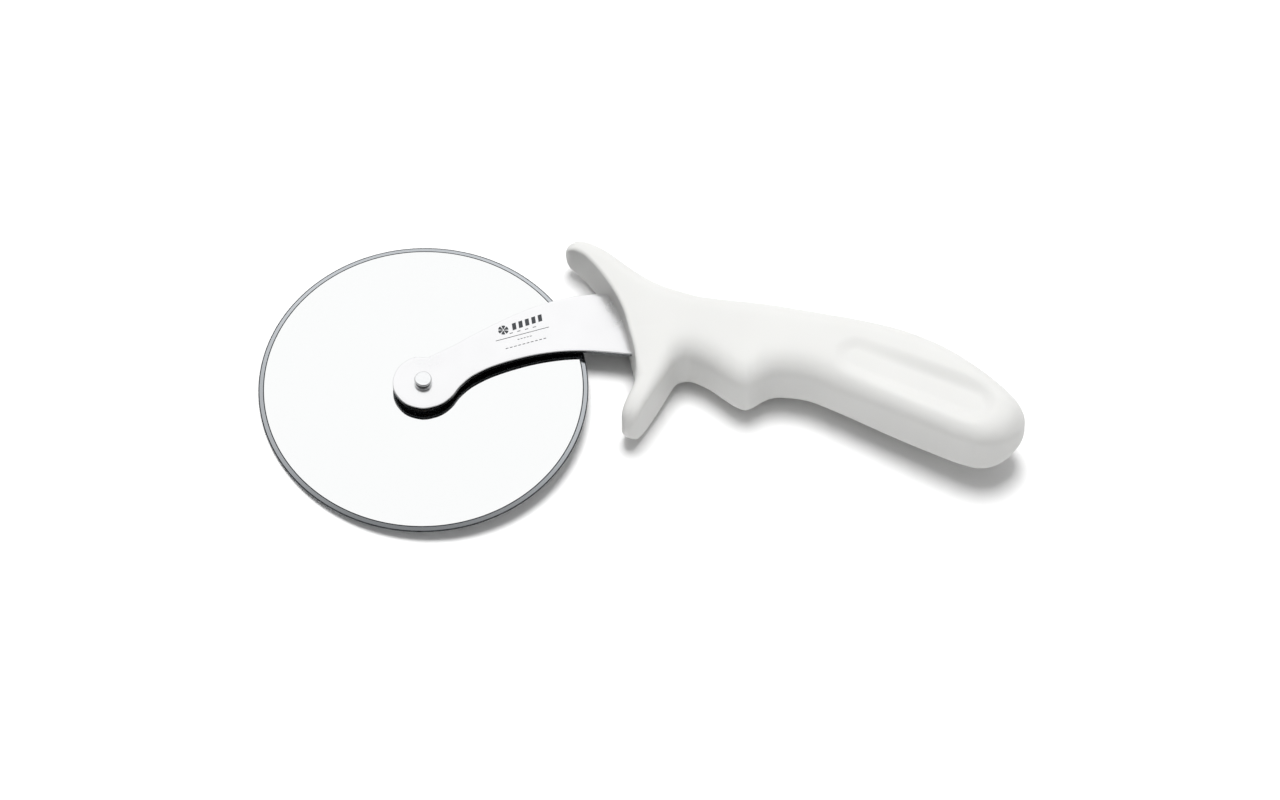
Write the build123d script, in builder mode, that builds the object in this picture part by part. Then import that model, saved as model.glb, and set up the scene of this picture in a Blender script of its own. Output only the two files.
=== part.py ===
"""Pastry cutter wheel: a round blade that turns freely on a rivet below a bent steel arm,
with a one-piece polypropylene handle moulded over the arm's tang.

Frame: origin at the centre of the wheel, halfway through the blade. +X runs from the wheel to the
handle, +Z along the axle towards the arm, and the blade lies in the XY plane. Millimetres.
"""
import os

from build123d import *

os.makedirs("parts", exist_ok=True)

# Wheel
WHEEL_DIAMETER = 100.0
BLADE_THICKNESS = 1.2
BEVEL_WIDTH = 1.4             # radial width of the ground bevel on each side
EDGE_THICKNESS = 0.2          # flat land left at the cutting edge

# Axle stack, from the blade outwards
JOURNAL_RADIUS = 3.0
RUNNING_CLEARANCE = 0.05      # radial, journal to bush
AXIAL_CLEARANCE = 0.1         # end float on each side of the wheel
BUSH_WALL = 1.0
BUSH_FLANGE_RADIUS = 7.0
BUSH_FLANGE_THICKNESS = 0.9
WASHER_RADIUS = 7.5
SPACER_THICKNESS = 1.0        # washer between the bush and the arm
HEAD_WASHER_THICKNESS = 0.6   # washer between the blade and the rivet head
RIVET_HEAD_RADIUS = 6.5
RIVET_HEAD_THICKNESS = 1.4
RIVET_HEAD_CHAMFER = 0.5
NECK_RADIUS = 2.0
NECK_CLEARANCE = 0.02         # radial, neck to the hole in the arm
PEENED_RADIUS = 2.7
PEENED_HEIGHT = 2.1
PEENED_CHAMFER = 0.35

# Arm
ARM_THICKNESS = 1.5
PAD_RADIUS = 9.2
PAD_LENGTH = 14.0             # from the axle to the first bend
ARM_DROP = 1.1                # how far the arm comes down towards the blade plane
TANG_TO_BUTT = 52.0           # plastic behind the end of the tang
TANG_END_WIDTH = 9.0
TANG_HOLE_RADIUS = 2.5

# Handle
GUARD_GAP = 13.8              # wheel edge to the deepest point of the guard
HANDLE_LENGTH = 118.1         # deepest point of the guard to the butt
GRIP_THICKNESS = 24.8
GRIP_CORNER = 6.4             # corner radius of the grip's section
GUARD_THIN = 10.0             # how much thinner the guard's outer tip is than the grip
HOLLOW_LENGTH = 48.0          # palm hollow on each face of the grip
HOLLOW_WIDTH = 11.0
HOLLOW_DEPTH = 1.0
TOOL_OVERRUN = 0.5
GRIP_TILT = -23.6             # the grip droops from the arm's line by this angle

# Derived places
WHEEL_RADIUS = WHEEL_DIAMETER / 2
HALF_BLADE = BLADE_THICKNESS / 2
BUSH_OUTER_RADIUS = JOURNAL_RADIUS + RUNNING_CLEARANCE + BUSH_WALL
FLANGE_TOP = HALF_BLADE + BUSH_FLANGE_THICKNESS
SPACER_BOTTOM = FLANGE_TOP + AXIAL_CLEARANCE
ARM_UNDERSIDE = SPACER_BOTTOM + SPACER_THICKNESS
ARM_TOP = ARM_UNDERSIDE + ARM_THICKNESS
HEAD_WASHER_TOP = -HALF_BLADE - AXIAL_CLEARANCE
HEAD_TOP = HEAD_WASHER_TOP - HEAD_WASHER_THICKNESS
HEAD_BOTTOM = HEAD_TOP - RIVET_HEAD_THICKNESS
PEENED_TOP = ARM_TOP + PEENED_HEIGHT
PAD_MIDDLE = ARM_UNDERSIDE + ARM_THICKNESS / 2
HANDLE_MIDDLE = PAD_MIDDLE - ARM_DROP
GUARD_X = WHEEL_RADIUS + GUARD_GAP
BUTT_X = GUARD_X + HANDLE_LENGTH
TANG_END_X = BUTT_X - TANG_TO_BUTT

# The blade: a flat disc with a bevel ground on both sides of its edge
with BuildPart() as blade_wheel:
    with BuildSketch(Plane.XZ):
        with BuildLine():
            Polyline(
                (BUSH_OUTER_RADIUS, -HALF_BLADE),
                (WHEEL_RADIUS - BEVEL_WIDTH, -HALF_BLADE),
                (WHEEL_RADIUS, -EDGE_THICKNESS / 2),
                (WHEEL_RADIUS, EDGE_THICKNESS / 2),
                (WHEEL_RADIUS - BEVEL_WIDTH, HALF_BLADE),
                (BUSH_OUTER_RADIUS, HALF_BLADE),
                close=True,
            )
        make_face()
    revolve(axis=Axis.Z)

# The bush: pressed into the blade's hole, with its flange on the arm side
with BuildPart() as wheel_bush:
    with BuildSketch(Plane.XY.offset(-HALF_BLADE)):
        Circle(BUSH_OUTER_RADIUS)
    extrude(amount=BLADE_THICKNESS)
    with BuildSketch(Plane.XY.offset(HALF_BLADE)):
        Circle(BUSH_FLANGE_RADIUS)
    extrude(amount=BUSH_FLANGE_THICKNESS)
    with BuildSketch(Plane.XY.offset(-HALF_BLADE)):
        Circle(JOURNAL_RADIUS + RUNNING_CLEARANCE)
    extrude(amount=BLADE_THICKNESS + BUSH_FLANGE_THICKNESS, mode=Mode.SUBTRACT)

# Spacer washer: fills the gap between the turning bush and the arm
with BuildPart() as spacer_washer:
    with BuildSketch(Plane.XY.offset(SPACER_BOTTOM)):
        Circle(WASHER_RADIUS)
        Circle(JOURNAL_RADIUS + RUNNING_CLEARANCE, mode=Mode.SUBTRACT)
    extrude(amount=SPACER_THICKNESS)

# Head washer: keeps the blade off the rivet's head
with BuildPart() as head_washer:
    with BuildSketch(Plane.XY.offset(HEAD_TOP)):
        Circle(WASHER_RADIUS)
        Circle(JOURNAL_RADIUS + RUNNING_CLEARANCE, mode=Mode.SUBTRACT)
    extrude(amount=HEAD_WASHER_THICKNESS)

# Axle rivet: chamfered head, journal, shoulder against the arm, neck, and peened end on top
with BuildPart() as axle_rivet:
    with BuildSketch(Plane.XZ):
        with BuildLine():
            Polyline(
                (0, HEAD_BOTTOM),
                (0, PEENED_TOP),
                (PEENED_RADIUS - PEENED_CHAMFER, PEENED_TOP),
                (PEENED_RADIUS, PEENED_TOP - PEENED_CHAMFER),
                (PEENED_RADIUS, ARM_TOP),
                (NECK_RADIUS, ARM_TOP),
                (NECK_RADIUS, ARM_UNDERSIDE),
                (JOURNAL_RADIUS, ARM_UNDERSIDE),
                (JOURNAL_RADIUS, HEAD_TOP),
                (RIVET_HEAD_RADIUS, HEAD_TOP),
                (RIVET_HEAD_RADIUS, HEAD_BOTTOM + RIVET_HEAD_CHAMFER),
                (RIVET_HEAD_RADIUS - RIVET_HEAD_CHAMFER, HEAD_BOTTOM),
                close=True,
            )
        make_face()
    revolve(axis=Axis.Z)

# The arm: a strap cut to this outline, bent down towards the blade plane, with its tang
PAD_UPPER = (1.9, (PAD_RADIUS**2 - 1.9**2) ** 0.5)
PAD_LOWER = (7.2, -((PAD_RADIUS**2 - 7.2**2) ** 0.5))
TANG_TOP_Y = 10.5
TANG_BOTTOM_Y = TANG_TOP_Y - TANG_END_WIDTH
with BuildPart() as arm:
    with BuildSketch() as arm_outline:
        with BuildLine():
            ThreePointArc(PAD_UPPER, (-PAD_RADIUS, 0), PAD_LOWER)
            Spline(
                PAD_UPPER,
                (9.6, 13.2),
                (GUARD_X - 35.1, 24.6),
                (GUARD_X - 20.0, 30.4),
                (GUARD_X - 8.5, 32.0),
            )
            Spline(
                PAD_LOWER,
                (10.6, -2.2),
                (16.1, 3.1),
                (GUARD_X - 35.0, 8.6),
                (GUARD_X - 20.4, 11.4),
                (GUARD_X - 2.3, 10.7),
            )
            Polyline(
                (GUARD_X - 8.5, 32.0),
                (GUARD_X + 1.0, 31.5),
                (GUARD_X + 14.0, 22.5),
                (TANG_END_X, TANG_TOP_Y),
                (TANG_END_X - 3.0, TANG_BOTTOM_Y),
                (GUARD_X + 20.0, 10.0),
                (GUARD_X - 2.3, 10.7),
            )
        make_face()
    extrude(amount=ARM_TOP, both=True)
    with BuildSketch(Plane.XZ) as arm_side:
        with BuildLine():
            side_top = Polyline(
                (-PAD_RADIUS - 1.0, ARM_TOP),
                (PAD_LENGTH, ARM_TOP),
                (GUARD_X - 5.8, ARM_TOP - ARM_DROP),
                (BUTT_X, ARM_TOP - ARM_DROP),
            )
            side_bottom = Polyline(
                (-PAD_RADIUS - 1.0, ARM_UNDERSIDE),
                (PAD_LENGTH, ARM_UNDERSIDE),
                (GUARD_X - 5.8, ARM_UNDERSIDE - ARM_DROP),
                (BUTT_X, ARM_UNDERSIDE - ARM_DROP),
            )
            Line(side_top @ 0, side_bottom @ 0)
            Line(side_top @ 1, side_bottom @ 1)
        make_face()
    extrude(amount=WHEEL_DIAMETER, both=True, mode=Mode.INTERSECT)
    with BuildSketch(Plane.XY):
        Circle(NECK_RADIUS + NECK_CLEARANCE)
        with Locations((GUARD_X + 22.0, 15.4), (TANG_END_X - 9.0, 8.6)):
            Circle(TANG_HOLE_RADIUS)
    extrude(amount=ARM_TOP, mode=Mode.SUBTRACT)

# The handle: a loft through sections square to X, then the guard's hollow front is cut.
# Each section is its place along X, its belly and crown edges, how much thinner it is than the
# grip, and its corner radius. Behind the finger grooves the places are shares of the palm's length.
GUARD_LOW = -16.2
PALM_X = GUARD_X + 45.0
PALM_LENGTH = BUTT_X - PALM_X
HANDLE_SECTIONS = (
    (GUARD_X - 26.0, GUARD_LOW, 48.4, GUARD_THIN + 1.0, 4.0),
    (GUARD_X - 16.8, GUARD_LOW, 47.2, GUARD_THIN, 4.2),
    (GUARD_X - 9.5, GUARD_LOW, 44.5, 0.8 * GUARD_THIN, 4.4),
    (GUARD_X - 2.0, GUARD_LOW, 38.4, 0.63 * GUARD_THIN, 4.6),
    (GUARD_X + 2.0, -13.6, 35.0, 0.5 * GUARD_THIN, 4.9),
    (GUARD_X + 6.0, -7.2, 32.2, 0.35 * GUARD_THIN, 5.2),
    (GUARD_X + 10.0, 0.4, 30.0, 0.2 * GUARD_THIN, 5.6),
    (GUARD_X + 13.0, 4.3, 28.8, 0.1 * GUARD_THIN, 5.9),
    (GUARD_X + 17.0, 5.2, 27.7, 0.3, 6.2),
    (GUARD_X + 22.0, 3.0, 26.6, 0.0, GRIP_CORNER),
    (GUARD_X + 28.0, -1.6, 25.8, 0.0, GRIP_CORNER),
    (GUARD_X + 33.0, -3.8, 25.3, 0.0, GRIP_CORNER),
    (GUARD_X + 38.0, -2.3, 24.7, 0.0, GRIP_CORNER),
    (PALM_X, -0.3, 23.5, 0.0, GRIP_CORNER),
    (PALM_X + 0.1491 * PALM_LENGTH, -2.9, 21.4, 0.0, GRIP_CORNER),
    (PALM_X + 0.3475 * PALM_LENGTH, -9.8, 17.9, 0.0, GRIP_CORNER),
    (PALM_X + 0.5622 * PALM_LENGTH, -17.3, 12.6, 0.0, GRIP_CORNER),
    (PALM_X + 0.7264 * PALM_LENGTH, -22.9, 6.0, 0.0, GRIP_CORNER),
    (PALM_X + 0.8358 * PALM_LENGTH, -24.8, 0.0, 0.4, GRIP_CORNER),
    (PALM_X + 0.9316 * PALM_LENGTH, -22.0, -6.4, 2.4, GRIP_CORNER),
    (BUTT_X, -17.0, -11.5, 9.8, 2.6),
)
with BuildPart() as handle:
    for x, belly, crown, thinner, corner in HANDLE_SECTIONS:
        middle = (x, (belly + crown) / 2, HANDLE_MIDDLE)
        with BuildSketch(Plane(middle, x_dir=(0, 1, 0), z_dir=(1, 0, 0))):
            RectangleRounded(crown - belly, GRIP_THICKNESS - thinner, corner)
    loft()
    # The guard's front: a crescent that stands clear of the wheel, with a rounded tip at each end
    with BuildSketch(Plane.XY.offset(HANDLE_MIDDLE - GRIP_THICKNESS)):
        with BuildLine():
            front = Spline(
                (GUARD_X - 19.1, 44.3),
                (GUARD_X - 9.1, 32.0),
                (GUARD_X - 2.9, 17.2),
                (GUARD_X, 1.0),
                (GUARD_X - 3.7, -13.4),
            )
            upper_tip = Spline(
                (GUARD_X - 26.0, 50.0),
                (GUARD_X - 18.2, 47.7),
                (GUARD_X - 19.8, 46.0),
                front @ 0,
                tangents=((-1, 0), front % 0),
            )
            lower_tip = Spline(
                front @ 1,
                (GUARD_X - 2.6, -16.0),
                (GUARD_X + 2.0, -15.6),
                (GUARD_X + 5.0, -18.0),
                tangents=(front % 1, (0.3, -1)),
            )
            Polyline(
                upper_tip @ 0,
                (GUARD_X - 30.0, 50.0),
                (GUARD_X - 30.0, -18.0),
                lower_tip @ 1,
            )
        make_face()
    extrude(amount=2 * GRIP_THICKNESS, mode=Mode.SUBTRACT)
    # A shallow palm hollow in each face of the grip. Its tool starts above the face, where it is
    # wider by as much as its 45 degree walls spread.
    for side in (1, -1):
        tool_z = HANDLE_MIDDLE + side * (GRIP_THICKNESS / 2 + TOOL_OVERRUN)
        with BuildSketch(Plane.XY.offset(tool_z)):
            with Locations((BUTT_X - 32.4, -4.9)):
                SlotOverall(
                    HOLLOW_LENGTH + 2 * TOOL_OVERRUN,
                    HOLLOW_WIDTH + 2 * TOOL_OVERRUN,
                    rotation=GRIP_TILT,
                )
        extrude(amount=-side * (HOLLOW_DEPTH + TOOL_OVERRUN), taper=45, mode=Mode.SUBTRACT)
    # The plastic is moulded round the arm's tang and through its key holes
    add(arm.part, mode=Mode.SUBTRACT)

PIECES = {
    "blade_wheel": blade_wheel,
    "wheel_bush": wheel_bush,
    "spacer_washer": spacer_washer,
    "head_washer": head_washer,
    "axle_rivet": axle_rivet,
    "arm": arm,
    "handle": handle,
}
for name, piece in PIECES.items():
    piece.part.label = name
    export_step(piece.part, f"parts/{name}.step")
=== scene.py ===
"""Pastry cutter wheel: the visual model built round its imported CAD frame, laid out as an add-on."""
import math

import bpy
import numpy as np
from bpy.props import FloatProperty, FloatVectorProperty, PointerProperty
from bpy.types import Operator, Panel, PropertyGroup
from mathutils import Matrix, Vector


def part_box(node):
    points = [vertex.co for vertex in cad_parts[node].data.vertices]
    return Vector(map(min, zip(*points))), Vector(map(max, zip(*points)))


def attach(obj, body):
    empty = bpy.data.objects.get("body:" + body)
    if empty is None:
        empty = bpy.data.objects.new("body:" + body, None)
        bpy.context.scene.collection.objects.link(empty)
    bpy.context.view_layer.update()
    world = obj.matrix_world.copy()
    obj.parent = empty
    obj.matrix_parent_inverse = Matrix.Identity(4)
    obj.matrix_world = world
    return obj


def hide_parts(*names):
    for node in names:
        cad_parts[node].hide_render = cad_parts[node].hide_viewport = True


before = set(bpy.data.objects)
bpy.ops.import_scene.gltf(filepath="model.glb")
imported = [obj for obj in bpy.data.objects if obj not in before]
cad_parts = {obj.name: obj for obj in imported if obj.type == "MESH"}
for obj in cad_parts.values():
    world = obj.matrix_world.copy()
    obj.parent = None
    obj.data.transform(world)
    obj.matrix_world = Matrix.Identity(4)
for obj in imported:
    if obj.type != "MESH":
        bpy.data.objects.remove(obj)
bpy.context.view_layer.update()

bl_info = {
    "name": "Pastry Cutter Wheel",
    "version": (1, 0, 0),
    "blender": (4, 5, 0),
    "location": "View3D > Sidebar > Cutter",
    "description": "Builds the visual model of a hand-held pastry cutter wheel round its CAD frame",
    "category": "Object",
}

MM = 0.001

# Places read from the frame
BLADE_LOW, BLADE_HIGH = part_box("blade_wheel")
ARM_LOW, ARM_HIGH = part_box("arm")
RIVET_LOW, RIVET_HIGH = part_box("axle_rivet")
HANDLE_LOW, HANDLE_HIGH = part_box("handle")
WHEEL_RADIUS = min(BLADE_HIGH.x, BLADE_HIGH.y, -BLADE_LOW.x, -BLADE_LOW.y)
HALF_BLADE = BLADE_HIGH.z
ARM_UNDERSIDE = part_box("spacer_washer")[1].z
ARM_TOP = ARM_HIGH.z
HALF_ARM = (ARM_TOP - ARM_UNDERSIDE) / 2
ARM_DROP = ARM_UNDERSIDE - ARM_LOW.z
HEAD_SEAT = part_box("head_washer")[0].z
HANDLE_MIDDLE = (HANDLE_LOW.z + HANDLE_HIGH.z) / 2
HALF_GRIP = (HANDLE_HIGH.z - HANDLE_LOW.z) / 2

# Sizes of the hidden fits, as in the CAD
JOURNAL_RADIUS = 3.0 * MM        # the rivet under the arm
NECK_RADIUS = 2.0 * MM           # the rivet through the arm
PEENED_RADIUS = 2.7 * MM         # the rivet's hammered end
BORE_RADIUS = 4.05 * MM          # the blade's bore, filled by the bush

# The camera
VIEW_ELEVATION = math.radians(59.32)
VIEW_CENTRE = (65.6 * MM, -3.9 * MM)
VIEW_WIDTH = 387.5 * MM          # across the picture, at the blade
FOCAL_LENGTH = 280.0             # a long lens, in millimetres
SENSOR_WIDTH = 36.0

# The floor and the light
BELLY_X = 80.0 * MM              # where the handle rests on the floor
FLOOR_HALF = 6.0                 # half the floor's side, in metres
FLOOR_GAP = 0.02 * MM            # keeps the floor just clear of what rests on it
KEY_STRENGTH = 2.6
KEY_ANGLE = math.radians(22)     # how wide the key light looks from the tool
KEY_TILT = math.radians(-9)      # it stands a little behind the tool
MIRRORED_CENTRE = (0.0, 0.51, 0.86)      # the way the level blade mirrors the camera
OVERHEAD = (0.0, 0.12, 0.99)
CARD_CENTRE = (0.0, -0.51, 0.86)

# How the solids are cut into faces
DISC_STEPS = 360
RIVET_STEPS = 96
HANDLE_ROWS = (10, 12, 22)       # wall, edge and crown
ARM_ROWS = (3, 4, 8)


# ---------------------------------------------------------------- small tools

def linear(hex_colour):
    """An sRGB hex colour as linear red, green, blue and alpha."""
    parts = [int(hex_colour[i:i + 2], 16) / 255 for i in (1, 3, 5)]
    return (*[c / 12.92 if c <= 0.04045 else ((c + 0.055) / 1.055) ** 2.4 for c in parts], 1.0)


def ease(low, high, x):
    """Smooth step: 0 below low, 1 above high, with level ends."""
    t = np.clip((x - low) / (high - low), 0, 1)
    return t * t * (3 - 2 * t)


def between(run, x):
    """Smooth step up from the run's first number to its second, and down from its third to its last."""
    return ease(run[0], run[1], x) * (1 - ease(run[2], run[3], x))


def through(stations, values):
    """Smooth curve through stations (parameter, x, y), read at the values. Each span is a cubic
    whose end slopes are the mean slopes of its neighbours, weighted by their spans."""
    knots = np.array(stations, float)
    t, p = knots[:, 0], knots[:, 1:]
    span = np.diff(t)[:, None]
    slope = np.diff(p, axis=0) / span
    inner = (slope[:-1] * span[1:] + slope[1:] * span[:-1]) / (span[1:] + span[:-1])
    tangent = np.vstack([2 * slope[:1] - inner[:1], inner, 2 * slope[-1:] - inner[-1:]])
    i = np.clip(np.searchsorted(t, values, side="right") - 1, 0, len(t) - 2)
    u = ((values - t[i]) / span[i, 0])[:, None]
    h = span[i]
    return (
        p[i] * (1 - u) ** 2 * (1 + 2 * u)
        + tangent[i] * h * u * (1 - u) ** 2
        + p[i + 1] * u * u * (3 - 2 * u)
        - tangent[i + 1] * h * u * u * (1 - u)
    )


def grid_faces(rows, columns, wrap=False):
    """Quads of a rows x columns grid of vertices; wrap joins the last column to the first."""
    last = columns if wrap else columns - 1
    i, j = np.meshgrid(np.arange(rows - 1), np.arange(last), indexing="ij")
    k = (j + 1) % columns
    quads = np.stack([i * columns + j, i * columns + k, (i + 1) * columns + k, (i + 1) * columns + j], -1)
    return quads.reshape(-1, 4)


def weld(points, quads, tolerance=1e-7):
    """Joins vertices that lie together. A quad that loses one corner becomes a triangle, and one that
    loses more is dropped. Returns the vertices, the quads, the triangles and the old places of both."""
    keys = np.round(points / tolerance).astype(np.int64)
    _, first, again = np.unique(keys, axis=0, return_index=True, return_inverse=True)
    quads = again.reshape(-1)[quads]
    same = quads == np.roll(quads, -1, axis=1)
    whole, short = np.flatnonzero(same.sum(1) == 0), np.flatnonzero(same.sum(1) == 1)
    triangles = quads[short][~same[short]].reshape(-1, 3)
    return points[first], quads[whole], triangles, np.concatenate([whole, short])


def make_piece(name, points, quads, materials, slots=None, smooth=True):
    """A mesh object at the origin from vertices in metres and quads. Vertices that lie together are
    joined, and all faces are turned over if the volume inside them, a sixth of the sum of a . (b x c)
    over triangles a, b, c, comes out negative. slots gives each quad its material."""
    points, quads, triangles, kept = weld(np.asarray(points, float), np.asarray(quads))
    a, b, c = np.moveaxis(points[np.vstack([quads[:, :3], quads[:, [0, 2, 3]], triangles])], 1, 0)
    if (a * np.cross(b, c)).sum() < 0:
        quads, triangles = quads[:, ::-1], triangles[:, ::-1]
    mesh = bpy.data.meshes.new(name)
    mesh.from_pydata(points.tolist(), [], quads.tolist() + triangles.tolist())
    mesh.polygons.foreach_set("use_smooth", [smooth] * len(mesh.polygons))
    for material in materials:
        mesh.materials.append(material)
    if slots is not None:
        mesh.polygons.foreach_set("material_index", np.asarray(slots, np.int32)[kept])
    mesh.update()
    piece = bpy.data.objects.new(name, mesh)
    bpy.context.scene.collection.objects.link(piece)
    return piece


def turned(profile, count):
    """A closed profile of (radius, z) turned about the axle: each point at an angle is the radius
    times that angle's cosine and sine, and z."""
    profile = np.asarray(profile, float)
    angle = np.linspace(0, 2 * math.pi, count, endpoint=False)
    r, z = profile[:, :1], profile[:, 1:]
    points = np.stack([r * np.cos(angle), r * np.sin(angle), z + 0 * angle], -1)
    return points.reshape(-1, 3), grid_faces(len(profile), count, wrap=True)[:, ::-1]


def add_node(tree, kind, inputs=None, **settings):
    """Adds a shader node, sets its fields, and fills or links its inputs."""
    node = tree.nodes.new(kind)
    for key, value in settings.items():
        setattr(node, key, value)
    for key, value in (inputs or {}).items():
        if isinstance(value, bpy.types.NodeSocket):
            tree.links.new(value, node.inputs[key])
        else:
            node.inputs[key].default_value = value
    return node


def new_material(name):
    """A material with a Principled shader and an output: the material, its tree, the shader and the
    Object coordinates, which are metres in the shared frame."""
    material = bpy.data.materials.new(name)
    material.use_nodes = True
    tree = material.node_tree
    tree.nodes.clear()
    shader = add_node(tree, "ShaderNodeBsdfPrincipled")
    add_node(tree, "ShaderNodeOutputMaterial", {"Surface": shader.outputs["BSDF"]})
    place = add_node(tree, "ShaderNodeTexCoord").outputs["Object"]
    return material, tree, shader, place


# ---------------------------------------------------------------- solids from a plan outline

def ring(knots, length, values):
    """A closed smooth curve through stations (parameter, x, y) that repeats after length."""
    knots = np.array(knots, float)
    shift = np.array([length, 0, 0])
    return through(np.vstack([knots[-3:] - shift, knots, knots[:3] + shift]), values)


def inflate(name, outline, spine, height, middle, edge, materials, rows, square=2.0, slope=0.0,
            dent=None, slots=None):
    """A moulded or cut solid from its plan. Each outline point is joined to its own spine point, and
    the surface climbs an upright wall, turns over a quarter of a superellipse as wide as the edge
    radius and of power square, and rises across the crown as a parabola in the way from outline to
    spine, where z is the half height. slope is the parabola's slope at the outline. The lower half
    mirrors the upper. dent lowers both faces by a depth given in plan."""
    wall, arc, crown = rows
    along = np.roll(outline, -1, 0) - np.roll(outline, 1, 0)
    inward = np.stack([along[:, 1], -along[:, 0]], 1) / np.linalg.norm(along, axis=1)[:, None]
    reach = np.abs(((spine - outline) * inward).sum(1))
    fall = reach * math.tan(slope) / 2
    radius = np.minimum(np.minimum(edge, 0.9 * reach), 0.94 * (height(*outline.T) - fall))
    turn = np.linspace(0, math.pi / 2, arc + 1)[:, None]
    aside, up = 1 - np.cos(turn) ** (2 / square), np.sin(turn) ** (2 / square)
    q = np.linspace(0, 1, crown + 1)[1:, None]
    v = np.vstack([np.zeros((wall, len(outline))), radius * aside / reach,
                   radius / reach + (1 - radius / reach) * q])      # the way from outline to spine
    plan = outline[None] * (1 - v[..., None]) + spine[None] * v[..., None]
    half = height(plan[..., 0], plan[..., 1])
    climb = np.concatenate([np.linspace(0, 1, wall + 1)[:-1], np.ones(arc + 1 + crown)])[:, None]
    over = np.vstack([np.zeros((wall, len(outline))), radius * up, radius * np.ones_like(q)])
    z = climb * (half - fall - radius) + over + fall * (1 - (1 - v) ** 2)
    if dent is not None:
        z = z - dent(plan[..., 0], plan[..., 1])
    centre = middle(plan[..., 0])
    top = np.concatenate([plan, (centre + z)[..., None]], -1)
    bottom = np.concatenate([plan, (centre - z)[..., None]], -1)
    grid = np.concatenate([top[::-1], bottom[1:]])
    count, width = grid.shape[:2]
    quads = grid_faces(count, width, wrap=True)
    if slots is not None:
        slots = slots(np.repeat(np.arange(count - 1), width), wall + arc + crown)
    return make_piece(name, grid.reshape(-1, 3), quads, materials, slots)


def spine_run(knots, samples, start, back=False):
    """Samples of one spine branch and their place on the outline's running length. back walks it the
    other way."""
    s = np.linspace(0, knots[-1][0], samples + 1)
    length = s[-1]
    s = s[::-1][:-1] if back else s[:-1]
    return start + (length - s if back else s), through(knots, s)


def fan_run(point, samples, start, length):
    """A stretch of outline that closes on one spine point."""
    t = np.linspace(0, length, samples + 1)[:-1]
    return start + t, np.repeat([point], samples, 0)


# Handle: the guard and the grip in plan, in mm. Each row is a running length and a place. The spine
# has three branches, to the guard's upper tip, to its lower tip and to the butt, which meet in it.
UPPER_BRANCH = ((0, 47.0, 45.0), (8, 52.8, 39.6), (16, 58.8, 34.0), (27, 66.0, 26.0), (41, 74.5, 15.0))
GRIP_BRANCH = (
    (0, 74.5, 15.0), (13, 87.5, 13.8), (26, 100.5, 11.2), (39, 113.0, 10.2), (53, 126.5, 6.6),
    (68, 141.0, 1.2), (81, 152.5, -3.6), (96, 166.5, -10.2),
)
LOWER_BRANCH = ((0, 63.3, -12.4), (8, 66.6, -4.6), (18, 70.2, 4.8), (29, 74.5, 15.0))
HANDLE_OUTLINE = (
    # from the guard's upper tip along the crown to the butt
    (0, 48.4, 47.5), (8, 56.2, 43.2), (16, 62.5, 37.6), (27, 71.0, 31.4), (41, 82.0, 27.1),
    (54, 89.5, 26.1), (67, 102.0, 24.7), (80, 115.2, 22.25), (94, 130.5, 19.0), (109, 146.6, 14.0),
    (122, 159.2, 7.8), (137, 173.2, -3.0),
    # round the butt
    (143.5, 177.8, -7.6), (148, 180.5, -11.0), (151.5, 181.8, -14.2), (154.8, 181.1, -17.5),
    (159, 178.4, -20.9), (163.7, 174.4, -23.6), (167.6, 170.5, -24.7), (171.2, 166.9, -24.6),
    (175, 163.3, -23.5), (178, 160.5, -22.4),
    # back along the belly, with its two finger grooves
    (186, 153.2, -19.0), (193, 146.5, -15.8), (206, 134.6, -10.0), (213.5, 128.3, -6.9),
    (221, 122.5, -4.1), (228, 116.8, -1.6), (235, 111.0, -0.45), (241, 105.6, -0.55),
    (244, 103.2, -1.7), (248, 100.3, -3.7), (251, 97.6, -4.85), (254, 94.5, -3.7),
    (257.5, 90.8, -1.0), (261, 87.1, 2.0), (265, 83.5, 4.2), (269.5, 80.3, 5.4), (274, 77.5, 4.8),
    (279, 75.7, 3.0), (285, 73.6, -0.5), (290, 71.8, -3.7), (295, 69.6, -7.4), (303, 66.2, -13.0),
    # round the lower tip, then up the guard's hollow front
    (305.5, 64.7, -15.3), (307.5, 62.9, -16.3), (309.5, 61.0, -16.0), (312, 60.1, -13.9),
    (320, 63.6, -4.4), (330, 64.1, 5.0), (341, 62.2, 14.8), (355, 59.8, 23.5), (366, 56.0, 31.2),
    (374, 51.7, 37.8), (382, 46.2, 43.5),
    # round the upper tip
    (384, 43.8, 45.0), (385.5, 42.95, 46.5), (387, 43.7, 48.0), (388.8, 45.6, 48.5),
)
OUTLINE_LENGTH = 391.0
FRONT_RUN = (310, 332, 376, 389)     # running lengths over which the guard's hollow front comes and goes
GRIP_RUN = (30, 62, 262, 290)        # and the grip
BUTT_RUN = (120 * MM, 150 * MM)      # X over which the edge sharpens towards the butt
BRANCH_SAMPLES = (84, 210, 60)
HANDLE_HALF = (
    (40, 7.5), (46, 7.9), (54, 8.9), (62, 9.8), (70, 11.2), (78, 12.1), (88, 12.4), (100, 12.42),
    (150, 12.4), (160, 12.25), (170, 11.8), (178, 11.1), (185, 10.2),
)
# Where the thickness rounds off: the end's place, its inward direction in degrees, and the length
ROUND_ENDS = (((42.7, 47.5), -40, 13.0), ((61.8, -16.6), 64, 14.0), ((184.0, -15.9), 159, 11.5))
END_POWER = 3
EDGE_POWER = 2.4                 # of the superellipse that the handle's edges turn over
EDGE_STRETCH = 1.17              # such an edge looks as round as an arc of a smaller radius
CROWN_SLOPE = math.radians(6)
BUTT_TIGHTER = 0.24              # how much sharper the edge is at the butt than at the grooves
DIMPLE = (148.6, -4.6)           # middle of the palm hollow
DIMPLE_TILT = math.radians(-23.6)
DIMPLE_WIDTHS = (14.5 * MM, 12.0 * MM)   # at its butt end and at its guard end


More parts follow.
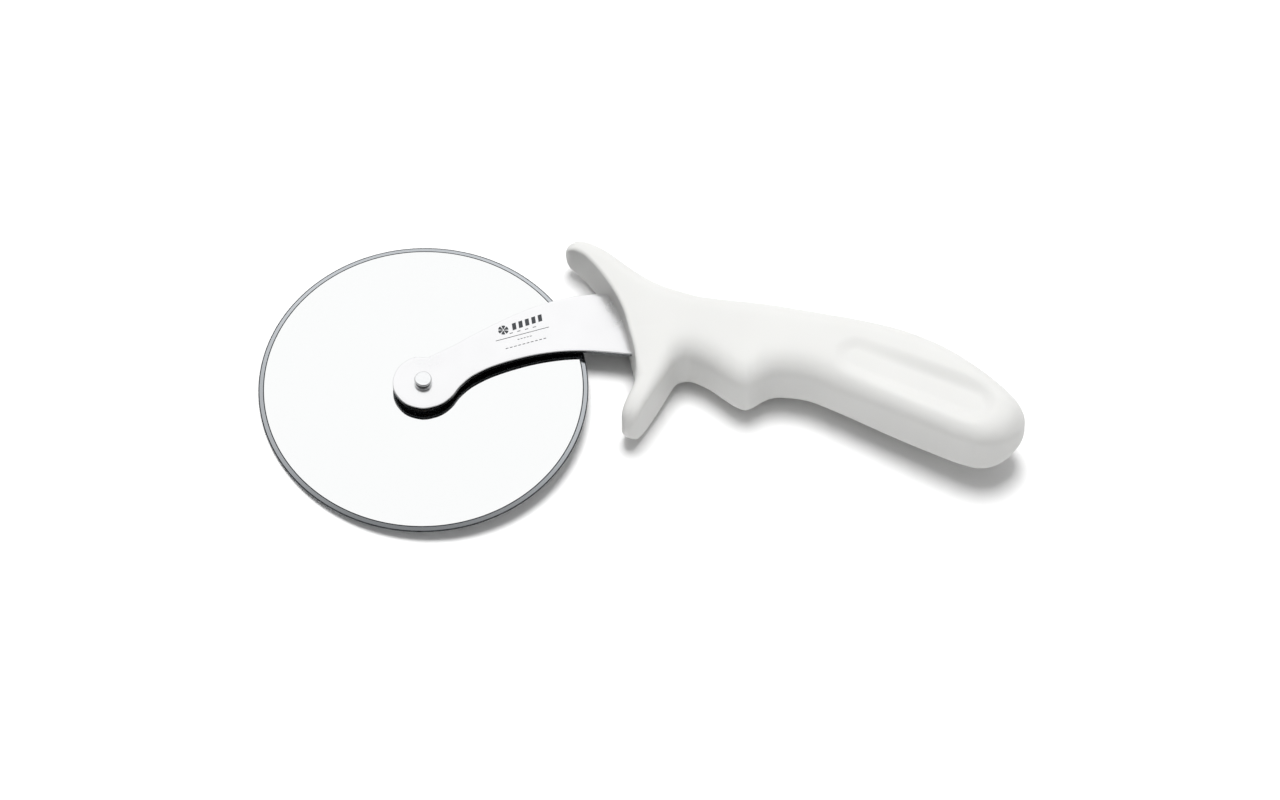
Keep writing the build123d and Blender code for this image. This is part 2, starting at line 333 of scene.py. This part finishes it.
def handle_plan(samples):
    """Outline and spine of the handle, matched point for point, in metres."""
    crown, grip, lower = samples
    runs = [
        spine_run(UPPER_BRANCH, crown, 0), spine_run(GRIP_BRANCH, grip, 41),
        fan_run(GRIP_BRANCH[-1][1:], 80, 137, 41), spine_run(GRIP_BRANCH, grip, 178, back=True),
        spine_run(LOWER_BRANCH, lower, 274, back=True), fan_run(LOWER_BRANCH[0][1:], 26, 303, 9),
        spine_run(LOWER_BRANCH, lower, 312), spine_run(UPPER_BRANCH, crown, 341, back=True),
        fan_run(UPPER_BRANCH[0][1:], 24, 382, 9),
    ]
    t = np.concatenate([r[0] for r in runs])
    return t, ring(HANDLE_OUTLINE, OUTLINE_LENGTH, t) * MM, np.vstack([r[1] for r in runs]) * MM


def handle_height(x, y):
    """Half thickness of the handle in plan: a smooth curve along X, rounded off at the three ends,
    where it falls as the end of a superellipse."""
    half = through(np.array(HANDLE_HALF) * MM, x.ravel())[:, 0].reshape(x.shape)
    for (end_x, end_y), turn, length in ROUND_ENDS:
        way = math.radians(turn)
        inward = (x / MM - end_x) * math.cos(way) + (y / MM - end_y) * math.sin(way)
        near = np.hypot(x / MM - end_x, y / MM - end_y) < 2.5 * length   # leaves the other ends alone
        short = 1 - np.clip(inward / length, 0.02, 1)
        half = half * np.where(near, (1 - short ** END_POWER) ** (1 / END_POWER), 1)
    return np.minimum(half, HALF_GRIP)


def dimple_depth(depth, length):
    """Depth in plan of the palm hollow: a slot, wider and deeper towards the butt, whose depth falls
    off as a smooth step in the distance from its middle line."""
    wide, narrow = DIMPLE_WIDTHS

    def dent(x, y):
        dx, dy = x - DIMPLE[0] * MM, y - DIMPLE[1] * MM
        a = dx * math.cos(DIMPLE_TILT) + dy * math.sin(DIMPLE_TILT)
        b = -dx * math.sin(DIMPLE_TILT) + dy * math.cos(DIMPLE_TILT)
        half = narrow / 2 + (wide - narrow) / 2 * np.clip(a / length + 0.5, 0, 1)
        beyond = np.maximum(np.abs(a) - (length / 2 - half), 0)
        far = np.hypot(beyond, b) / half
        return depth * (0.5 + 0.5 * ease(-0.5, 0.1, a / length)) * (1 - ease(0.4, 1.2, far))
    return dent


# Arm in plan, in mm, in the same way: the pad's round end closes on the axle, the tang's on one point
ARM_SPINE = (
    (0, 0.4, 0.3), (9, 7.8, 4.6), (15, 12.9, 8.3), (25, 21.2, 13.4), (36, 31.2, 17.8), (47, 41.6, 20.5),
    (56, 50.6, 21.5), (64, 58.6, 21.2), (71, 66.0, 20.2), (86, 80.0, 16.4), (131, 124.0, 6.4),
)
ARM_OUTLINE = (
    # along the top edge, from the pad to the tang's end
    (0, 1.9, 9.0), (3, 4.6, 10.5), (9, 9.6, 13.3), (15, 15.2, 16.9), (21, 21.7, 20.8), (28, 28.7, 24.7),
    (38, 37.3, 28.4), (46, 43.8, 30.5), (52, 49.3, 31.5), (61, 55.3, 32.0), (71, 64.8, 31.0),
    (86, 78.5, 22.3), (108, 104.0, 16.4), (131, 129.3, 10.3),
    (133, 129.6, 9.4), (139, 127.2, 2.2), (141, 126.2, 1.6),
    # back along the lower edge
    (164, 104.0, 5.9), (186, 83.8, 9.9), (201, 69.0, 10.3), (208, 61.5, 10.7), (212, 57.9, 11.05),
    (216, 54.3, 11.35), (220, 50.6, 11.55), (225, 45.2, 11.5), (231, 39.7, 11.0), (238, 32.5, 9.6),
    (247, 22.6, 6.35), (253, 17.9, 4.1), (257, 14.3, 1.75), (261, 11.3, -1.25), (266, 8.85, -4.8),
    (270, 6.7, -6.9),
    # round the pad
    (275.5, 3.4, -8.6), (281, -0.9, -9.16), (286, -5.6, -7.3), (290.5, -8.6, -3.3), (295, -9.13, 1.1),
    (299.5, -7.3, 5.6), (304.5, -3.1, 8.66),
)
ARM_LENGTH = 310.0
SLANT_START, SLANT_LENGTH = 14.0 * MM, 44.0 * MM


def arm_plan():
    """Outline and spine of the arm, matched point for point, in metres."""
    runs = [
        spine_run(ARM_SPINE, 150, 0), fan_run(ARM_SPINE[-1][1:], 20, 131, 10),
        spine_run(ARM_SPINE, 150, 141, back=True), fan_run(ARM_SPINE[0][1:], 70, 272, 38),
    ]
    t = np.concatenate([r[0] for r in runs])
    return ring(ARM_OUTLINE, ARM_LENGTH, t) * MM, np.vstack([r[1] for r in runs]) * MM


def arm_middle(x):
    """Mid-thickness height of the arm: level on the pad, down a long slant, level in the handle."""
    slant = np.clip((x - SLANT_START) / SLANT_LENGTH, 0, 1)
    return ARM_TOP - HALF_ARM - ARM_DROP * slant


# The etched mark, in mm and degrees on the arm's plan. Each row of dashes: its middle, how many, their
# pitch, length and width
CUT_DISC = ((24.1, 18.5), 0.25, 1.6)
DISC_SECTORS = 6
SECTOR_GAP = 7
LOZENGE_START = (27.4, 19.85)
LOZENGE_PITCH, LOZENGE_SIZE, LOZENGE_LEAN = 1.95, (1.25, 2.3), 0.55
LOZENGES = 5
ROW_TILT, RULE_TILT = math.radians(21.5), math.radians(18)
RULE = ((29.9, 17.2), 16.8, 0.2)
DASH_ROWS = (
    ((30.0, 18.6), 4, 2.45, 1.0, 0.2475),
    ((30.6, 15.9), 5, 0.97, 0.6, 0.225),
    ((31.0, 13.9), 10, 1.3325, 0.85, 0.2475),
)
PROUD, SUNK = 0.012 * MM, 0.02 * MM      # the mark's faces above and below the steel


def plate(plan):
    """A thin plate that follows the arm's top: a grid of plan points (rows, columns, 2) in mm becomes
    the grid set just proud of the steel, a wall, and the grid again just inside it."""
    rows, columns = plan.shape[:2]
    flat = plan.reshape(-1, 2) * MM
    surface = arm_middle(flat[:, 0]) + HALF_ARM
    upper = np.column_stack([flat, surface + PROUD])
    lower = np.column_stack([flat, surface - SUNK])
    quads = grid_faces(rows, columns)
    index = np.arange(rows * columns).reshape(rows, columns)
    rim = np.concatenate([index[0], index[1:, -1], index[-1, -2::-1], index[-2:0:-1, 0]])
    wall = np.stack([rim, np.roll(rim, -1), np.roll(rim, -1) + len(flat), rim + len(flat)], 1)
    return np.vstack([upper, lower]), np.vstack([quads, quads[:, ::-1] + len(flat), wall[:, ::-1]])


def sector_plate(centre, inner, outer, start, end):
    """A plate whose plan is a sector of a ring: radius by angle, in mm and degrees."""
    r = np.linspace(inner, outer, 3)[:, None]
    a = np.radians(np.linspace(start, end, 9))[None]
    return plate(np.stack([centre[0] + r * np.cos(a), centre[1] + r * np.sin(a)], -1))


def bar_plate(centre, tilt, length, width, lean=0.0):
    """A plate whose plan is a bar, length by width in mm, with its ends leaning, turned by the tilt."""
    b = np.linspace(-0.5, 0.5, 3)[:, None] * width
    a = np.linspace(-0.5, 0.5, 7)[None] * length + lean * b / width
    x = centre[0] + a * math.cos(tilt) - b * math.sin(tilt)
    y = centre[1] + a * math.sin(tilt) + b * math.cos(tilt)
    return plate(np.stack([x, y], -1))


def mark_plates():
    """The mark's plates: a cut disc, a row of lozenges, a rule and rows of dashes."""
    sector = 360 / DISC_SECTORS
    for k in range(DISC_SECTORS):
        yield sector_plate(*CUT_DISC, k * sector + SECTOR_GAP, (k + 1) * sector - SECTOR_GAP)
    for k in range(LOZENGES):
        step = LOZENGE_PITCH * k
        at = (LOZENGE_START[0] + step, LOZENGE_START[1] + step * math.tan(ROW_TILT))
        yield bar_plate(at, ROW_TILT, *LOZENGE_SIZE, LOZENGE_LEAN)
    yield bar_plate(RULE[0], RULE_TILT, *RULE[1:])
    for (x, y), count, pitch, length, width in DASH_ROWS:
        for k in range(count):
            along = (k - (count - 1) / 2) * pitch
            at = (x + along * math.cos(RULE_TILT), y + along * math.sin(RULE_TILT))
            yield bar_plate(at, RULE_TILT, length, width)


# ---------------------------------------------------------------- materials

def grain(tree, place, size_mm, detail=2.0, stretch=(1, 1, 1), turn=0.0):
    """Noise whose features are about size_mm across, stretched and turned about Z: its value."""
    mapped = add_node(tree, "ShaderNodeMapping", {
        "Vector": place, "Rotation": (0, 0, turn), "Scale": stretch})
    noise = add_node(tree, "ShaderNodeTexNoise", {
        "Vector": mapped.outputs["Vector"], "Scale": 1 / (size_mm * MM), "Detail": detail})
    return noise.outputs["Fac"]


def finish(tree, shader, rough=None, tint=None, relief=None, span=(0.3, 0.7)):
    """Lets patterns make a surface. rough is a pattern and the roughness at its two ends, tint is a
    pattern and the colour at its two ends, and relief is a pattern, its height in mm and its strength.
    The span is the part of a pattern's range that runs from one end to the other."""
    ends = {"From Min": span[0], "From Max": span[1]}
    if rough:
        pattern, first, last = rough
        level = add_node(tree, "ShaderNodeMapRange", {
            "Value": pattern, **ends, "To Min": first, "To Max": last})
        tree.links.new(level.outputs["Result"], shader.inputs["Roughness"])
    if tint:
        pattern, first, last = tint
        level = add_node(tree, "ShaderNodeMapRange", {"Value": pattern, **ends})
        blend = add_node(tree, "ShaderNodeMix", {      # sockets 6 and 7 and output 2 hold colours
            "Factor": level.outputs["Result"], 6: first, 7: last}, data_type="RGBA")
        tree.links.new(blend.outputs[2], shader.inputs["Base Color"])
    if relief:
        pattern, height_mm, strength = relief
        bump = add_node(tree, "ShaderNodeBump", {
            "Height": pattern, "Distance": height_mm * MM, "Strength": strength})
        tree.links.new(bump.outputs["Normal"], shader.inputs["Normal"])


def blade_steel(tone):
    """Stainless steel sheet, ground flat and mirror-polished on a turning wheel: a clean reflection
    with the faintest rings round the axle. The rings are drawn coarser than they are, 0.6 mm apart."""
    material, tree, shader, place = new_material("stainless_mirror_polished")
    flat = add_node(tree, "ShaderNodeVectorMath", {0: place, 1: (1, 1, 0)}, operation="MULTIPLY")
    radius = add_node(tree, "ShaderNodeVectorMath", {0: flat.outputs["Vector"]}, operation="LENGTH")
    rings = add_node(tree, "ShaderNodeTexNoise", {
        "W": radius.outputs["Value"], "Scale": 1 / (0.6 * MM), "Detail": 3.0}, noise_dimensions="1D")
    haze = grain(tree, place, 18.0)
    finish(tree, shader, rough=(haze, 0.035, 0.075), relief=(rings.outputs["Fac"], 0.0006, 0.5))
    shader.inputs["Base Color"].default_value = (*tone, 1)
    shader.inputs["Metallic"].default_value = 1.0
    return material


def bevel_steel():
    """The blade's bevel, ground round the rim by a fine wheel and left unpolished: a blue-grey band
    with short scratches across it."""
    material, tree, shader, place = new_material("stainless_ground_bevel")
    scratches = grain(tree, place, 0.5, detail=4.0)
    finish(tree, shader, rough=(scratches, 0.08, 0.16), relief=(scratches, 0.004, 0.4))
    shader.inputs["Base Color"].default_value = linear("#CDD1D5")
    shader.inputs["Metallic"].default_value = 1.0
    return material


def shoulder_painted_shade_steel():
    """Painted shade on the bevel's shoulder groove and on the blunt edge: a dark grey steel with an
    uneven tone, standing in for the shade that both hold."""
    material, tree, shader, place = new_material("stainless_painted_shade_line")
    shade_mottle = grain(tree, place, 1.5, detail=3.0)
    # painted shade: the two dark greys stand in for shade at the shoulder and the edge, varied at random
    finish(tree, shader, rough=(shade_mottle, 0.3, 0.5), tint=(shade_mottle, linear("#25282B"), linear("#54585D")))
    shader.inputs["Metallic"].default_value = 1.0
    return material


def strap_steel(tone):
    """Stainless steel strip, belt-polished along its length: bright, with faint lengthwise lines."""
    material, tree, shader, place = new_material("stainless_belt_polished")
    lines = grain(tree, place, 0.35, detail=3.0, stretch=(0.04, 1, 1), turn=math.radians(-28))
    haze = grain(tree, place, 9.0)
    finish(tree, shader, rough=(haze, 0.2, 0.28), relief=(lines, 0.0012, 0.5))
    shader.inputs["Base Color"].default_value = (*tone, 1)
    shader.inputs["Metallic"].default_value = 1.0
    return material


def mill_painted_shade_steel():
    """Stainless steel as rolled, on the strap's sheared edge and its unpolished underside: rough, with
    a slight cloudiness, and painted far darker than such steel is, as painted shade on the edge."""
    material, tree, shader, place = new_material("stainless_mill_painted_shade")
    cloud = grain(tree, place, 1.2, detail=5.0)
    # painted shade: these dark greys make the sheared edge read as shaded; they are not the steel's own
    # tone
    finish(tree, shader, rough=(cloud, 0.2, 0.34), tint=(cloud, linear("#3E4042"), linear("#5C5F62")),
           relief=(cloud, 0.003, 0.4))
    shader.inputs["Metallic"].default_value = 1.0
    return material


def rivet_steel():
    """Stainless wire, cold-headed and peened with a hammer: bright flats with small dull marks."""
    material, tree, shader, place = new_material("stainless_cold_peened")
    marks = grain(tree, place, 0.5, detail=3.0)
    finish(tree, shader, rough=(marks, 0.08, 0.2), relief=(marks, 0.008, 0.5))
    shader.inputs["Base Color"].default_value = linear("#F0F1F2")
    shader.inputs["Metallic"].default_value = 1.0
    return material


def washer_steel():
    """Stainless steel washer, stamped from sheet and tumbled: a soft satin shine."""
    material, tree, shader, place = new_material("stainless_stamped_tumbled")
    dings = grain(tree, place, 0.8, detail=4.0)
    finish(tree, shader, rough=(dings, 0.22, 0.38), relief=(dings, 0.004, 0.4))
    shader.inputs["Base Color"].default_value = linear("#B4B6B8")
    shader.inputs["Metallic"].default_value = 1.0
    return material


def bush_bronze():
    """Tin bronze, pressed from powder and soaked in oil: brown-gold, fine-pored and half dull."""
    material, tree, shader, place = new_material("bronze_sintered")
    pores = add_node(tree, "ShaderNodeTexVoronoi", {"Vector": place, "Scale": 1 / (0.25 * MM)})
    depth = pores.outputs["Distance"]
    finish(tree, shader, rough=(depth, 0.5, 0.3), span=(0.0, 0.5))
    finish(tree, shader, tint=(depth, linear("#5C4526"), linear("#A9855A")), relief=(depth, 0.02, 0.5),
           span=(0.0, 0.4))
    shader.inputs["Metallic"].default_value = 1.0
    return material


def etched_steel():
    """Steel darkened by electrolytic etching: a matt charcoal with an uneven tone."""
    material, tree, shader, place = new_material("stainless_etched_dark")
    bite = grain(tree, place, 0.3, detail=3.0)
    finish(tree, shader, tint=(bite, linear("#2B2D30"), linear("#5A5D61")), relief=(bite, 0.004, 0.4))
    shader.inputs["Metallic"].default_value = 0.3
    shader.inputs["Roughness"].default_value = 0.6
    return material


def handle_plastic(colour, grain_mm):
    """Polypropylene, injection-moulded in a spark-eroded mould: warm white and half matt, with a
    fine pebbled grain and a slight depth to the light."""
    material, tree, shader, place = new_material("polypropylene_moulded_fine_grain")
    pebbles = grain(tree, place, grain_mm, detail=3.0)
    flow = grain(tree, place, 26.0, detail=1.0)
    dimmer = [c * 0.965 for c in colour]
    finish(tree, shader, rough=(pebbles, 0.42, 0.56), tint=(flow, (*colour, 1), (*dimmer, 1)),
           relief=(pebbles, 0.02, 0.35))
    shader.inputs["IOR"].default_value = 1.49
    shader.inputs["Subsurface Weight"].default_value = 0.12
    shader.inputs["Subsurface Radius"].default_value = (1.0, 0.95, 0.85)
    shader.inputs["Subsurface Scale"].default_value = 1.2 * MM
    return material


def floor_paper():
    """Smooth white studio paper: matt, with no visible texture."""
    material, tree, shader, place = new_material("white_studio_paper")
    finish(tree, shader, rough=(grain(tree, place, 2.0), 0.85, 0.95))
    shader.inputs["Base Color"].default_value = linear("#F9F9F9")
    shader.inputs["Specular IOR Level"].default_value = 0.1
    return material


def studio_sky(tree, way, centre, level, panel, card, horizon):
    """A white sky: its level, plus a panel round the centre, less a dark card in front of the tool,
    plus a band of light near the horizon. Each fades in as a smooth step, the panel and the card in
    the cosine of the angle from their middles and the band in the height of the way looked."""
    glow = level
    up = add_node(tree, "ShaderNodeSeparateXYZ", {"Vector": way}).outputs["Z"]
    near_panel = add_node(
        tree, "ShaderNodeVectorMath", {0: way, 1: centre}, operation="DOT_PRODUCT").outputs["Value"]
    near_card = add_node(
        tree, "ShaderNodeVectorMath", {0: way, 1: CARD_CENTRE}, operation="DOT_PRODUCT").outputs["Value"]
    for place, start, end, amount in (
            (near_panel, 0.70, 0.96, panel), (near_card, 0.45, 0.88, -card), (up, 0.72, 0.42, horizon)):
        patch = add_node(tree, "ShaderNodeMapRange", {
            "Value": place, "From Min": start, "From Max": end, "To Min": 0.0, "To Max": amount},
            interpolation_type="SMOOTHSTEP")
        glow = add_node(tree, "ShaderNodeMath", {0: glow, 1: patch.outputs["Result"]}).outputs["Value"]
    sky = add_node(tree, "ShaderNodeBackground", {"Color": (1, 1, 1, 1), "Strength": glow})
    return sky.outputs["Background"]


# ---------------------------------------------------------------- settings

class CutterSettings(PropertyGroup):
    """Sizes and colours of the visual model."""

    handle_colour: FloatVectorProperty(
        name="Handle colour", description="Colour of the moulded plastic", subtype="COLOR",
        size=3, min=0, max=1, default=linear("#DEDEDC")[:3])
    blade_tone: FloatVectorProperty(
        name="Blade tone", description="Reflected tone of the polished blade", subtype="COLOR",
        size=3, min=0, max=1, default=linear("#F1F2F2")[:3])
    strap_tone: FloatVectorProperty(
        name="Arm tone", description="Reflected tone of the polished arm", subtype="COLOR",
        size=3, min=0, max=1, default=linear("#F3F3F4")[:3])
    plastic_grain: FloatProperty(
        name="Plastic grain", description="Size of the handle's surface pebbles, in millimetres",
        default=0.35, min=0.1, max=2.0)
    grip_rounding: FloatProperty(
        name="Grip rounding", description="Radius of the grip's long edges",
        default=6.6 * MM, min=1 * MM, max=9 * MM, unit="LENGTH", precision=4)
    guard_rounding: FloatProperty(
        name="Guard rounding", description="Radius of the guard's outer edges",
        default=4.8 * MM, min=1 * MM, max=6 * MM, unit="LENGTH", precision=4)
    guard_rim: FloatProperty(
        name="Guard rim", description="Radius of the edge of the guard's hollow front",
        default=1.0 * MM, min=0.3 * MM, max=4 * MM, unit="LENGTH", precision=4)
    hollow_depth: FloatProperty(
        name="Hollow depth", description="Depth of the palm hollow on each face",
        default=1.9 * MM, min=0, max=2.5 * MM, unit="LENGTH", precision=4)
    hollow_length: FloatProperty(
        name="Hollow length", description="Length of the palm hollow",
        default=51 * MM, min=20 * MM, max=60 * MM, unit="LENGTH")
    arm_edge: FloatProperty(
        name="Arm edge", description="Radius left on the arm's edges by the polishing belt",
        default=0.2 * MM, min=0.05 * MM, max=0.6 * MM, unit="LENGTH", precision=5)
    bevel_width: FloatProperty(
        name="Bevel width", description="Width of the blade's ground bevel",
        default=1.4 * MM, min=0.5 * MM, max=4 * MM, unit="LENGTH", precision=4)
    edge_thickness: FloatProperty(
        name="Edge thickness", description="Thickness left at the blade's blunt edge",
        default=0.2 * MM, min=0.05 * MM, max=1 * MM, unit="LENGTH", precision=5)
    hammer_depth: FloatProperty(
        name="Hammer marks", description="Depth of the marks on the rivet's peened end",
        default=0.07 * MM, min=0, max=0.3 * MM, unit="LENGTH", precision=5)


# ---------------------------------------------------------------- pieces

class CUTTER_OT_handle(Operator):
    """The moulded handle with its finger guard and palm hollows"""

    bl_idname = "cutter.handle"
    bl_label = "Handle"

    def execute(self, context):
        settings = context.scene.cutter
        t, outline, spine = handle_plan(BRANCH_SAMPLES)
        guard = settings.guard_rounding
        edge = guard + (settings.grip_rounding - guard) * between(GRIP_RUN, t)
        edge = edge + (settings.guard_rim - edge) * between(FRONT_RUN, t)
        edge = edge * (1 - BUTT_TIGHTER * ease(*BUTT_RUN, outline[:, 0]))
        piece = inflate(
            "handle_shell", outline, spine, handle_height, lambda x: HANDLE_MIDDLE + 0 * x,
            EDGE_STRETCH * edge, [handle_plastic(settings.handle_colour, settings.plastic_grain)],
            HANDLE_ROWS, square=EDGE_POWER, slope=CROWN_SLOPE,
            dent=dimple_depth(settings.hollow_depth, settings.hollow_length))
        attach(piece, "tool")
        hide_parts("handle")
        return {"FINISHED"}


class CUTTER_OT_blade(Operator):
    """The round blade with its ground bevel"""

    bl_idname = "cutter.blade"
    bl_label = "Blade"

    def execute(self, context):
        settings = context.scene.cutter
        inner = WHEEL_RADIUS - settings.bevel_width
        tip = settings.edge_thickness / 2
        line = 0.31 * MM          # the shoulder groove and the blunt edge, painted dark as shade
        upper = [
            (BORE_RADIUS, HALF_BLADE), (12 * MM, HALF_BLADE), (30 * MM, HALF_BLADE),
            (inner - line, HALF_BLADE), (inner - line / 2, HALF_BLADE - 0.1 * MM),
            (inner, HALF_BLADE - 0.06 * MM), (WHEEL_RADIUS - line, tip + 0.09 * MM), (WHEEL_RADIUS, tip),
        ]
        profile = np.array(upper + [(r, -z) for r, z in upper[::-1]] + upper[:1])
        points, quads = turned(profile, DISC_STEPS)
        # Each stretch of the profile: 0 the polished face, 1 the bevel, 2 the shoulder and the edge, in
        # painted shade
        side = [0, 0, 0, 2, 2, 1, 2]
        stretches = side + [2] + side[::-1] + [0]
        piece = make_piece(
            "blade_disc", points, quads,
            [blade_steel(settings.blade_tone), bevel_steel(), shoulder_painted_shade_steel()],
            np.repeat(stretches, DISC_STEPS), smooth=False)
        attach(piece, "wheel")
        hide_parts("blade_wheel")
        return {"FINISHED"}


class CUTTER_OT_arm(Operator):
    """The steel arm between the rivet and the handle"""

    bl_idname = "cutter.arm"
    bl_label = "Arm"

    def execute(self, context):
        settings = context.scene.cutter
        outline, spine = arm_plan()
        # the arm's wall and underside take the steel painted dark as shade
        piece = inflate(
            "arm_strap", outline, spine, lambda x, y: HALF_ARM + 0 * x, arm_middle, settings.arm_edge,
            [strap_steel(settings.strap_tone), mill_painted_shade_steel()], ARM_ROWS,
            slots=lambda row, top_rows: (row >= top_rows - ARM_ROWS[0]).astype(int))
        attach(piece, "tool")
        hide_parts("arm")
        return {"FINISHED"}


class CUTTER_OT_mark(Operator):
    """The etched mark on the arm: a cut disc, a row of lozenges and plain rules"""

    bl_idname = "cutter.mark"
    bl_label = "Etched mark"

    def execute(self, context):
        points, quads, count = [], [], 0
        for p, q in mark_plates():
            points.append(p)
            quads.append(q + count)
            count += len(p)
        piece = make_piece(
            "arm_mark", np.vstack(points), np.vstack(quads), [etched_steel()], smooth=False)
        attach(piece, "tool")
        return {"FINISHED"}


class CUTTER_OT_rivet(Operator):
    """The rivet with its factory head below and its peened end above"""

    bl_idname = "cutter.rivet"
    bl_label = "Rivet"

    def execute(self, context):
        settings = context.scene.cutter
        top, base = RIVET_HIGH.z, RIVET_LOW.z
        head, seat, end = RIVET_HIGH.x, HEAD_SEAT, PEENED_RADIUS
        peened = [(r, top - 0.05 * MM * (r / end) ** 2) for r in np.linspace(0, 0.86 * end, 15)]
        peened += [(0.92 * end, top - 0.11 * MM), (0.98 * end, top - 0.22 * MM), (end, top - 0.4 * MM)]
        under = [(end, ARM_TOP + 0.25 * MM), (0.97 * end, ARM_TOP + 0.08 * MM), (NECK_RADIUS, ARM_TOP)]
        shank = [(NECK_RADIUS, ARM_UNDERSIDE), (JOURNAL_RADIUS, ARM_UNDERSIDE), (JOURNAL_RADIUS, seat)]
        flange = [(head - 0.15 * MM, seat), (head, seat - 0.15 * MM), (head, base + 0.55 * MM),
                  (head - 0.12 * MM, base + 0.32 * MM), (head - 0.55 * MM, base + 0.03 * MM),
                  (head - 0.8 * MM, base), (0, base)]
        profile = np.array(peened + under + shank + flange)
        points, quads = turned(profile, RIVET_STEPS)
        # The hammer's marks: two products of crossed waves, about 2 mm and 1.2 mm long
        x, y, z = points.T / MM
        r, a = np.hypot(x, y), np.arctan2(y, x)
        marks = (np.sin(2.9 * x + 1.3 * y + 0.6) * np.sin(3.3 * y - 1.1 * x + 2.1)
                 + 0.5 * np.sin(5.3 * x - 2.2 * y) * np.sin(4.6 * y + 1.7 * x + 0.9))
        on_top = (z > (top - 0.3 * MM) / MM) * ease(0, 0.5, 2.5 - r)
        points[:, 2] -= on_top * settings.hammer_depth * (0.5 + 0.33 * marks)
        # The peened end is drawn in unevenly, by up to a twenty-fifth of its radius
        squeeze = 1 - 0.02 * (1 + np.sin(3 * a + 1.0)) * ease(4.3, 5.4, z)
        points[:, :2] *= squeeze[:, None]
        piece = make_piece("rivet_peened", points, quads, [rivet_steel()])
        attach(piece, "tool")
        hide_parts("axle_rivet")
        return {"FINISHED"}


class CUTTER_OT_bearing(Operator):
    """Finishes for the bush and the two washers, which keep their CAD shapes"""

    bl_idname = "cutter.bearing"
    bl_label = "Bush and washers"

    def execute(self, context):
        steel = washer_steel()
        finishes = {"wheel_bush": bush_bronze(), "spacer_washer": steel, "head_washer": steel}
        for node, material in finishes.items():
            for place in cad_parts[node].material_slots:
                place.material = material
        return {"FINISHED"}


class CUTTER_OT_stage(Operator):
    """The pale floor that the tool rests on, the soft light and the camera"""

    bl_idname = "cutter.stage"
    bl_label = "Stage"

    def execute(self, context):
        scene = context.scene
        # The tool rests on the blade's far rim and on the handle's belly, so the floor is tilted to them
        slope = (HANDLE_LOW.z + HALF_BLADE) / (BELLY_X + WHEEL_RADIUS)
        x = np.linspace(-FLOOR_HALF, FLOOR_HALF, 9)
        grid = np.stack(np.meshgrid(x, x), -1).reshape(-1, 2)
        z = slope * (grid[:, 0] + WHEEL_RADIUS) - HALF_BLADE - FLOOR_GAP
        mesh = bpy.data.meshes.new("floor")
        mesh.from_pydata(np.column_stack([grid, z]).tolist(), [], grid_faces(9, 9).tolist())
        mesh.materials.append(floor_paper())
        floor = bpy.data.objects.new("floor", mesh)
        scene.collection.objects.link(floor)

        world = bpy.data.worlds.new("studio")
        scene.world = world
        world.use_nodes = True
        tree = world.node_tree
        tree.nodes.clear()

        # The light comes from a soft overhead panel with dim sides. What polished steel mirrors is a
        # bright panel behind the tool, a dark card in front and a pale horizon. To the eye the sky is
        # plain white.
        way = add_node(tree, "ShaderNodeTexCoord").outputs["Generated"]
        lit = studio_sky(tree, way, OVERHEAD, level=0.34, panel=0.66, card=0.20, horizon=0.0)
        mirrored = studio_sky(
            tree, way, MIRRORED_CENTRE, level=0.24, panel=0.86, card=0.22, horizon=0.36)
        plain = add_node(tree, "ShaderNodeBackground", {"Color": (1, 1, 1, 1), "Strength": 1.0})
        ray = add_node(tree, "ShaderNodeLightPath")
        sky = add_node(tree, "ShaderNodeMixShader", {
            0: ray.outputs["Is Glossy Ray"], 1: lit, 2: mirrored})
        mixed = add_node(tree, "ShaderNodeMixShader", {
            0: ray.outputs["Is Camera Ray"], 1: sky.outputs["Shader"],
            2: plain.outputs["Background"]})
        add_node(tree, "ShaderNodeOutputWorld", {"Surface": mixed.outputs["Shader"]})

        lamp = bpy.data.lights.new("soft_key", "SUN")
        lamp.energy = KEY_STRENGTH
        lamp.angle = KEY_ANGLE
        key = bpy.data.objects.new("soft_key", lamp)
        scene.collection.objects.link(key)
        key.rotation_euler = (KEY_TILT, 0, 0)
        key.visible_glossy = False

        lens = bpy.data.cameras.new("camera")
        lens.lens, lens.sensor_width = FOCAL_LENGTH, SENSOR_WIDTH
        lens.clip_start, lens.clip_end = 0.1, 100.0
        camera = bpy.data.objects.new("camera", lens)
        scene.collection.objects.link(camera)
        distance = FOCAL_LENGTH / SENSOR_WIDTH * VIEW_WIDTH
        camera.location = (
            VIEW_CENTRE[0], VIEW_CENTRE[1] - distance * math.cos(VIEW_ELEVATION),
            distance * math.sin(VIEW_ELEVATION))
        camera.rotation_euler = (math.pi / 2 - VIEW_ELEVATION, 0, 0)
        scene.camera = camera
        scene.view_settings.view_transform = "Standard"
        return {"FINISHED"}


class CUTTER_PT_panel(Panel):
    """Lists the pieces and their settings"""

    bl_label = "Pastry Cutter Wheel"
    bl_idname = "CUTTER_PT_panel"
    bl_space_type = "VIEW_3D"
    bl_region_type = "UI"
    bl_category = "Cutter"

    def draw(self, context):
        column = self.layout.column()
        for operator in PIECES:
            column.operator(operator.bl_idname)
        for name in CutterSettings.__annotations__:
            column.prop(context.scene.cutter, name)


PIECES = (
    CUTTER_OT_stage, CUTTER_OT_handle, CUTTER_OT_blade, CUTTER_OT_arm, CUTTER_OT_mark,
    CUTTER_OT_rivet, CUTTER_OT_bearing,
)
CLASSES = (CutterSettings, *PIECES, CUTTER_PT_panel)


def register():
    for each in CLASSES:
        bpy.utils.register_class(each)
    bpy.types.Scene.cutter = PointerProperty(type=CutterSettings)


def unregister():
    del bpy.types.Scene.cutter
    for each in reversed(CLASSES):
        bpy.utils.unregister_class(each)


def main():
    """Builds every piece in order."""
    register()
    for operator in PIECES:
        group, name = operator.bl_idname.split(".")
        getattr(getattr(bpy.ops, group), name)()


if __name__ == "__main__":
    main()
